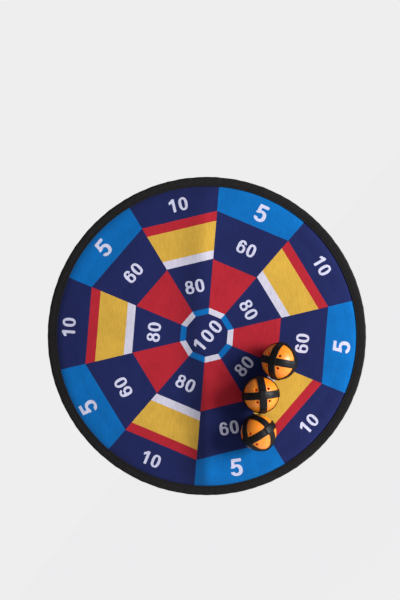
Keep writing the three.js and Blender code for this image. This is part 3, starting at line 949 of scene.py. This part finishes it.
loop_share = np.linspace(0.0, 1.0, LOOP_STEPS)
loop_x, loop_z, half_turn = loop_middle(loop_share)
loop_way = np.stack([np.gradient(loop_x), np.gradient(loop_z)], axis=-1)
loop_way /= np.linalg.norm(loop_way, axis=1, keepdims=True)
outward_x, outward_z = loop_way[:, 1:], -loop_way[:, :1]
section_turn = np.linspace(0.0, 2.0 * math.pi, LOOP_SIDES, endpoint=False)
section_across = np.sign(np.cos(section_turn)) * np.abs(np.cos(section_turn)) ** 0.35 * LOOP_TAPE_WIDTH / 2
section_up = np.sign(np.sin(section_turn)) * np.abs(np.sin(section_turn)) ** 0.6 * LOOP_TAPE_HALF
# Round the eye the tape's inner edge is too long for its place, so it lifts in a few small ripples.
bend_share = np.sin(half_turn)[:, None]
inner_edge = np.clip(0.5 - section_across / LOOP_TAPE_WIDTH, 0.0, 1.0)
ripples = bend_share * inner_edge ** 2 * LOOP_RIPPLE * (1.0 - np.cos(9.0 * half_turn[:, None]))
cupping = bend_share * LOOP_RIPPLE * (2.0 * section_across / LOOP_TAPE_WIDTH) ** 2
loop_rise = (loop_low.y + loop_high.y) / 2 - 0.00008 + section_up + ripples + cupping
loop_points = np.stack([loop_x[:, None] + outward_x * section_across, loop_rise,
                        loop_z[:, None] + outward_z * section_across], axis=-1)
hanging_tape = make_piece("hanging_tape", loop_points, tube_cells(LOOP_STEPS, LOOP_SIDES), None,
                          ["loop_ends", "hanging_loop"])
loop_lengths = np.cumsum(np.hypot(np.diff(loop_x, prepend=loop_x[0]), np.diff(loop_z, prepend=loop_z[0])))
weave_place = np.column_stack([np.repeat(loop_lengths, LOOP_SIDES), np.tile(section_across, LOOP_STEPS),
                               np.zeros(LOOP_STEPS * LOOP_SIDES)])
hanging_tape.data.attributes.new("along_tape", "FLOAT_VECTOR", "POINT").data.foreach_set(
    "vector", weave_place.astype(np.float32).ravel())
twill = Finish("black_twill_tape", 0.78, 0.3)
along_tape = twill.node("ShaderNodeAttribute", attribute_name="along_tape").outputs["Vector"]
along, across, _ = twill.axes(along_tape)
half_across = twill.math("ABSOLUTE", across)
slant = twill.math("ADD", along, twill.math("MULTIPLY", half_across, 1.2))
twill_ribs = ribbed(twill, slant, 0.0007)
twill_yarn = twill.noise(twill.place, 3000.0, 2.0)
# Painted shade: the tape is darker in the grooves of the twill, following the ribs' height.
twill_shade = twill.math("ADD", twill.ranged(twill_ribs, 0.5, 1.1), twill.ranged(twill_yarn, -0.2, 0.2))
twill_colour = twill.mix(twill.noise(twill.place, 150.0), (0.014, 0.014, 0.015), (0.028, 0.028, 0.030))
twill.paint(twill.shaded(twill_colour, twill_shade), twill.bump(twill_ribs, 0.00018, 0.9)).wear(hanging_tape)
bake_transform(hanging_tape)

# ---------------------------------------------------------------------------------------------------
# Bar tack. A dense zigzag of black thread, sewn by machine over two long stitches, holds both ends of the
# hanging loop to the rim of the board.
TACK_ZIGZAGS = 30
TACK_THREAD = 0.00024

tack_low, tack_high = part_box("loop_tack")


def thread_along(path, thickness, sides=6):
    """A thread of even thickness along a path: rings of points square to it, whose first direction is the
    path's way crossed with +Y. Returns points and quads."""
    way = np.gradient(path, axis=0)
    way /= np.linalg.norm(way, axis=1, keepdims=True)
    first = np.cross([0.0, 1.0, 0.0], way)
    first /= np.linalg.norm(first, axis=1, keepdims=True)
    second = np.cross(way, first)
    turn = np.linspace(0.0, 2.0 * math.pi, sides, endpoint=False)[None, :, None]
    rings = path[:, None] + thickness * (np.cos(turn) * first[:, None] + np.sin(turn) * second[:, None])
    return rings.reshape(-1, 3), tube_cells(len(path), sides)


tack_level = loop_high.y - 0.00005
zig_count = TACK_ZIGZAGS * 8 + 1
zig_share = np.linspace(0.0, 1.0, zig_count)
zig_wave = 2.0 * np.abs((zig_share * TACK_ZIGZAGS) % 2.0 - 1.0) - 1.0
tack_half_x = (tack_high.x - tack_low.x) / 2 - 0.0003
tack_half_z = (tack_high.z - tack_low.z) / 2 - 0.0002
tack_middle = (tack_high.z + tack_low.z) / 2
zigzag = np.column_stack([
    (2.0 * zig_share - 1.0) * tack_half_x,
    tack_level + 0.00055 * (1.0 - zig_wave ** 4) - 0.00010,
    tack_middle + tack_half_z * np.sin(zig_wave * math.pi / 2),
])
long_share = np.linspace(-1.0, 1.0, 33)
threads_made = [thread_along(zigzag, TACK_THREAD)]
for offset in (-0.0005, 0.0005):
    long_stitch = np.column_stack([long_share * (tack_half_x + 0.0003),
                                   tack_level + 0.00018 - 0.0006 * long_share ** 8,
                                   np.full_like(long_share, tack_middle + offset)])
    threads_made.append(thread_along(long_stitch, TACK_THREAD))
tack_points = np.concatenate([points for points, _ in threads_made])
tack_starts = np.cumsum([0] + [len(points) for points, _ in threads_made[:-1]])
tack_quads = np.concatenate([start + quads for start, (_, quads) in zip(tack_starts, threads_made)])
bar_tack = make_piece("bar_tack", tack_points, tack_quads, "board", ["loop_tack"])
thread_finish("tack_thread", (0.018, 0.018, 0.019), (0.040, 0.039, 0.040)).wear(bar_tack)

# ---------------------------------------------------------------------------------------------------
# Ball shells. Each ball is two thin half shells of orange plastic, moulded with four vent holes apiece
# and welded at the equator. One octant of a half is worked out, and the others mirror it.
BALLS = (1, 2, 3)
BALL_RADIUS = 0.019
SHELL_WALL = 0.0012
VENT_RADIUS = 0.00155
VENT_SPREAD = 0.4
# The way each ball's pole faces, and the way its tape at the equator faces.
BALL_FACINGS = {
    1: ((-0.25, -0.88, 0.40), (0.87, -0.02, 0.50)),
    2: ((0.08, -1.00, -0.03), (0.70, 0.03, 0.72)),
    3: ((-0.72, -0.66, 0.21), (0.30, -0.03, 0.95)),
}


def ball_frame(number):
    """The ball's middle, from the points of its shells, and its turn: columns for the side arm, the pole
    and the seam's facing, made square to each other."""
    corners = []
    for half in ("front", "back"):
        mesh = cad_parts[f"ball_{number}_shell_{half}"].data
        values = np.empty(3 * len(mesh.vertices), dtype=np.float32)
        mesh.vertices.foreach_get("co", values)
        corners.append(values.reshape(-1, 3))
    corners = np.unique(np.round(np.concatenate(corners).astype(float), 6), axis=0)
    pole, seam = (np.array(way) / np.linalg.norm(way) for way in BALL_FACINGS[number])
    arm = np.cross(pole, seam)
    arm /= np.linalg.norm(arm)
    return (corners.min(0) + corners.max(0)) / 2, np.column_stack([arm, pole, np.cross(arm, pole)])


def octant_points(radius, rays_per_side=12, steps=9):
    """Points of one octant of a sphere round its vent. Rays leave the vent's rim for the octant's three
    sides, evenly in angle along each side. Between the rim and the side a ray's points are arcs, spaced as
    a power of their share, so they crowd round the vent."""
    middle = np.array([VENT_SPREAD, 1.0, VENT_SPREAD])
    middle /= np.linalg.norm(middle)
    corners = np.eye(3)
    share = np.linspace(0.0, math.pi / 2, rays_per_side, endpoint=False)[:, None]
    sides = [np.cos(share) * corners[a] + np.sin(share) * corners[b] for a, b in ((0, 1), (1, 2), (2, 0))]
    ends = np.concatenate(sides)
    away = ends - (ends @ middle)[:, None] * middle
    away /= np.linalg.norm(away, axis=1, keepdims=True)
    reach = np.arccos(np.clip(ends @ middle, -1.0, 1.0))
    vent_angle = VENT_RADIUS / radius
    spaced = np.linspace(0.0, 1.0, steps) ** 1.6
    angle = vent_angle + (reach[:, None] - vent_angle) * spaced[None, :]
    return radius * (np.cos(angle)[..., None] * middle + np.sin(angle)[..., None] * away[:, None])


def half_shell(sign):
    """Points and quads of a half shell: the outer and inner skins of the octant, joined through the vent
    hole by a rounded lip and at the equator by a flat one, mirrored into four quarters. The last result
    marks the quads of the inner skin and the vents' walls."""
    outer = octant_points(BALL_RADIUS)
    inner = octant_points(BALL_RADIUS - SHELL_WALL)[:, ::-1]
    lip = (outer[:, :1] + inner[:, -1:]) / 2
    route = np.concatenate([inner, lip, outer], axis=1)
    rays, count = route.shape[:2]
    cells = grid_quads(rays, count, True, False)
    equator = np.arange(rays - rays // 3, rays + 1) % rays
    joint = np.column_stack([equator[:-1] * count + count - 1, equator[1:] * count + count - 1,
                             equator[1:] * count, equator[:-1] * count])
    base = np.concatenate([cells, joint[:, ::-1]])
    inner_cells = np.arange(len(cells)) % (count - 1) < inner.shape[1]
    inside = np.concatenate([inner_cells, np.zeros(len(joint), bool)])
    points, quads = [], []
    for sx in (1.0, -1.0):
        for sz in (1.0, -1.0):
            flip = sx * sz * sign < 0.0
            quads.append(len(points) * rays * count + (base[:, ::-1] if flip else base))
            points.append(route.reshape(-1, 3) * [sx, sign, sz])
    return np.concatenate(points), np.concatenate(quads), np.tile(inside, 4)


def merged(points, quads):
    """The same mesh with points that share a place made one."""
    _, first, same = np.unique(np.round(points * 1e7).astype(np.int64), axis=0,
                               return_index=True, return_inverse=True)
    return points[first], same.reshape(-1)[quads]


def orange_plastic():
    """Moulded orange plastic: even colour with faint flow marks, tiny scuffs and a satin gloss. Light goes
    a few millimetres through it, red light the furthest."""
    s = Finish("orange_moulded_plastic", 0.34, 0.5)
    flow = s.noise(s.turned(s.place, scale=(60.0, 110.0, 60.0)), 1.0, 3.0)
    colour = s.mix(flow, (0.86, 0.225, 0.010), (0.97, 0.295, 0.020))
    s.shader.inputs["Subsurface Weight"].default_value = 0.30
    s.shader.inputs["Subsurface Radius"].default_value = (1.0, 0.22, 0.05)
    s.shader.inputs["Subsurface Scale"].default_value = 0.004
    scuffs = s.noise(s.turned(s.place, scale=(700.0, 200.0, 900.0)), 1.0, 3.0, 0.7)
    rough = s.ranged(s.noise(s.place, 240.0, 3.0), 0.26, 0.46)
    return s.paint(colour, s.bump(scuffs, 0.00005, 0.4), rough)


def inner_skin_painted_glow():
    """The inner skin, seen through the vent holes: a dull deep red painted in for the dim light that comes
    through the orange wall, and a faint painted glow from emission, though nothing inside is a lamp.
    """
    s = Finish("inner_plastic_painted_glow", 0.7, 0.2)
    cloudy = s.noise(s.place, 90.0, 2.0)
    # Painted glow: the emission stands in for light coming through the wall.
    s.shader.inputs["Emission Color"].default_value = (0.17, 0.004, 0.001, 1.0)
    s.shader.inputs["Emission Strength"].default_value = 0.85
    return s.paint(s.mix(cloudy, (0.42, 0.022, 0.004), (0.54, 0.040, 0.007)))


plastic = orange_plastic()
inner_painted_glow = inner_skin_painted_glow()
for number in BALLS:
    ball_middle, ball_turn = ball_frame(number)
    for half, sign in (("front", 1.0), ("back", -1.0)):
        half_points, half_quads, half_inside = half_shell(sign)
        shell_points, shell_quads = merged(half_points, half_quads)
        shell = make_piece(f"ball_{number}_{half}_half", ball_middle + shell_points @ ball_turn.T,
                           shell_quads, f"ball_{number}", [f"ball_{number}_shell_{half}"])
        plastic.wear(shell)
        shell.data.materials.append(inner_painted_glow.material)
        shell.data.polygons.foreach_set("material_index", half_inside.astype(np.int32))

# ---------------------------------------------------------------------------------------------------
# Hook tapes. Three bands of black hook tape are glued round each ball at right angles, each later one
# lapping over the earlier. Rows of small nylon hooks stand on a woven strip.
BAND_WIDTH = 0.008
BAND_RADIUS = 0.0193
BAND_BASE = 0.0003
BAND_STEPS = 200
LAP_LIFT = 0.00078
LAP_FLAT = math.radians(13.0)
LAP_RAMP = math.radians(9.5)
HOOK_ROWS = 6
HOOKS_ROUND = 92
HOOK_THICKNESS = 0.00011
# The hook's middle line, forward and up, in millimetres.
HOOK_PROFILE = [(0.0, -0.05), (0.0, 0.18), (0.04, 0.34), (0.14, 0.43), (0.26, 0.40), (0.31, 0.29)]
# For each band, the axes of its turn's start, its quarter turn and its width, then the turns where it laps
# over an earlier band.
BANDS = {
    1: ((0, 2, 1), ()),
    2: ((0, 1, 2), (0.0, math.pi)),
    3: ((1, 2, 0), (0.0, math.pi / 2, math.pi, -math.pi / 2)),
}


def band_lift(turn, laps):
    """Height of a band where it laps over others: level over each crossing, then down a smooth step."""
    lift = np.zeros_like(turn)
    for crossing in laps:
        away = np.abs((turn - crossing + math.pi) % (2.0 * math.pi) - math.pi)
        lift = np.maximum(lift, LAP_LIFT * (1.0 - smooth_step((away - LAP_FLAT) / LAP_RAMP)))
    return lift


def on_band(turn, across, height, axes, laps):
    """Points on a band round a ball: a turn along it, a distance across it that follows the ball's
    curve, and a height over its underside, with the axes in the band's order."""
    radius = BAND_RADIUS + height + band_lift(turn, laps)
    lean = across / BAND_RADIUS
    parts = [radius * np.cos(lean) * np.cos(turn), radius * np.cos(lean) * np.sin(turn),
             radius * np.sin(lean)]
    placed = np.empty(np.shape(parts[0]) + (3,))
    for axis, part in zip(axes, parts):
        placed[..., axis] = part
    return placed


band_turn = np.linspace(0.0, 2.0 * math.pi, BAND_STEPS, endpoint=False)[:, None]
wide = np.linspace(-1.0, 1.0, 9) * (BAND_WIDTH / 2 - 0.00012)
band_across = np.concatenate([[-BAND_WIDTH / 2], wide, [BAND_WIDTH / 2], wide[::-2]])
band_height = np.concatenate([[BAND_BASE / 2], np.full(9, BAND_BASE), [BAND_BASE / 2], np.zeros(5)])
hook_row = np.arange(HOOK_ROWS)
row_across = (hook_row - (HOOK_ROWS - 1) / 2) * (BAND_WIDTH - 0.0016) / (HOOK_ROWS - 1)
hook_turn = 2.0 * math.pi * (np.arange(HOOKS_ROUND)[:, None] + 0.5 * (hook_row[None, :] % 2)) / HOOKS_ROUND
hook_profile = np.array(HOOK_PROFILE) * 0.001
hook_way = np.gradient(hook_profile, axis=0)
hook_way /= np.linalg.norm(hook_way, axis=1, keepdims=True)
side_turn = np.linspace(0.0, 2.0 * math.pi, 4, endpoint=False) + math.pi / 4
ring_forward = hook_profile[:, :1] - hook_way[:, 1:] * HOOK_THICKNESS * np.cos(side_turn)
ring_up = hook_profile[:, 1:] + hook_way[:, :1] * HOOK_THICKNESS * np.cos(side_turn)
ring_across = np.broadcast_to(HOOK_THICKNESS * 1.3 * np.sin(side_turn), ring_forward.shape)
row_way = np.where(hook_row % 2 == 0, 1.0, -1.0)[None, :, None, None]
hook_along = hook_turn[..., None, None] + row_way * ring_forward / (BAND_RADIUS + BAND_BASE)
hook_across = row_across[None, :, None, None] + row_way * ring_across
hook_height = BAND_BASE + ring_up + np.zeros_like(hook_along)
hook_shape = np.broadcast_shapes(hook_along.shape, hook_across.shape)
hook_across = np.broadcast_to(hook_across, hook_shape)


def hook_nylon():
    """Black nylon hook tape: a satin gloss whose roughness changes in patches, over a fine grain, on the
    hooks and the woven ground alike.
    """
    s = Finish("black_hook_nylon", 0.45, 0.2)
    grain = s.noise(s.place, 1800.0, 3.0, 0.6)
    worn = s.noise(s.place, 160.0, 3.0)
    colour = s.shaded(s.mix(worn, (0.003, 0.003, 0.004), (0.008, 0.008, 0.009)), s.ranged(grain, 0.6, 1.3))
    return s.paint(colour, s.bump(grain, 0.00012, 0.6), s.ranged(worn, 0.34, 0.56))


nylon = hook_nylon()
for number in BALLS:
    ball_middle, ball_turn = ball_frame(number)
    for order, (axes, laps) in BANDS.items():
        strip = on_band(band_turn, band_across, band_height, axes, laps)
        hooks = on_band(hook_along, hook_across, hook_height, axes, laps).reshape(-1, 3)
        strip_quads = grid_quads(BAND_STEPS, len(band_across), True, True)
        hook_cells = tube_cells(len(hook_profile), 4)
        hook_starts = 4 * len(hook_profile) * np.arange(HOOK_ROWS * HOOKS_ROUND)[:, None, None]
        hook_quads = (hook_cells[None] + hook_starts).reshape(-1, 4)
        turned_round = np.linalg.det(np.eye(3)[list(axes)]) < 0.0
        band_points = np.concatenate([strip.reshape(-1, 3), hooks])
        band_quads = np.concatenate([strip_quads, strip[..., 0].size + hook_quads])
        if turned_round:
            band_quads = band_quads[:, ::-1]
        band = make_piece(f"ball_{number}_hook_tape_{order}", ball_middle + band_points @ ball_turn.T,
                          band_quads, f"ball_{number}", [f"ball_{number}_tape_{order}"])
        nylon.wear(band)
